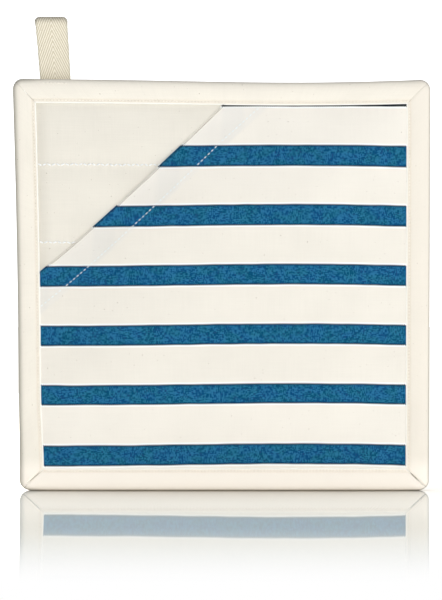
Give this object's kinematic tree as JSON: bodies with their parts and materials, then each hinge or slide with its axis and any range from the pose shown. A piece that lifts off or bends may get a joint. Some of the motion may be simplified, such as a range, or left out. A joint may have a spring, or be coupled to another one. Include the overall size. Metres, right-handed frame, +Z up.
{
  "type": "pocket pot holder",
  "caption": "Square quilted pot holder with a bound edge, a striped hand pocket cut off at one corner, and a tape loop to hang it by.",
  "frame": {"origin": "middle of the hanging loop's eye, in its top bend, where a hook bears", "axes": "+Z up along the hanging pad, +X to the right seen from the front, +Y out of the back; the pocket faces -Y"},
  "size_m": [0.2, 0.0186, 0.2315],
  "materials": {
    "natural_cotton": "unbleached plain-weave cotton, matt",
    "striped_cotton": "cream cotton with woven blue stripes, matt",
    "binding_cotton": "cream cotton binding, matt",
    "herringbone_tape": "natural herringbone cotton tape",
    "cotton_wadding": "soft cotton wadding",
    "heat_felt": "needled felt with a dull silver face",
    "cotton_thread": "cream cotton sewing thread"
  },
  "bodies": {
    "pad": {"back_panel": "natural_cotton", "palm_panel": "natural_cotton", "heat_barrier": "heat_felt", "batting": "cotton_wadding", "pocket_seam_allowance": "striped_cotton", "quilting_needle_thread": "cotton_thread", "quilting_bobbin_thread": "cotton_thread", "loop_tail": "herringbone_tape", "loop_tack_thread": "cotton_thread", "binding_top": "binding_cotton", "binding_thread_top": "cotton_thread", "binding_right": "binding_cotton", "binding_thread_right": "cotton_thread", "binding_bottom": "binding_cotton", "binding_thread_bottom": "cotton_thread", "binding_left": "binding_cotton", "binding_thread_left": "cotton_thread"},
    "pocket": {"pocket_panel": "striped_cotton", "hem_thread": "cotton_thread"},
    "loop": {"hanging_loop": "herringbone_tape"}
  },
  "joints": [
    {"name": "loop_bend", "type": "hinge", "parent": "pad", "child": "loop", "pos_m": [0.00191, 0, -0.02605], "axis": [1, 0, 0], "range_deg": [-140, 75], "stiffness_Nm_per_rad": 0.002},
    {"name": "pocket_open", "type": "slide", "parent": "pad", "child": "pocket", "axis": [0, -1, 0], "range_m": [0, 0.018], "stiffness_N_per_m": 150}
  ]
}
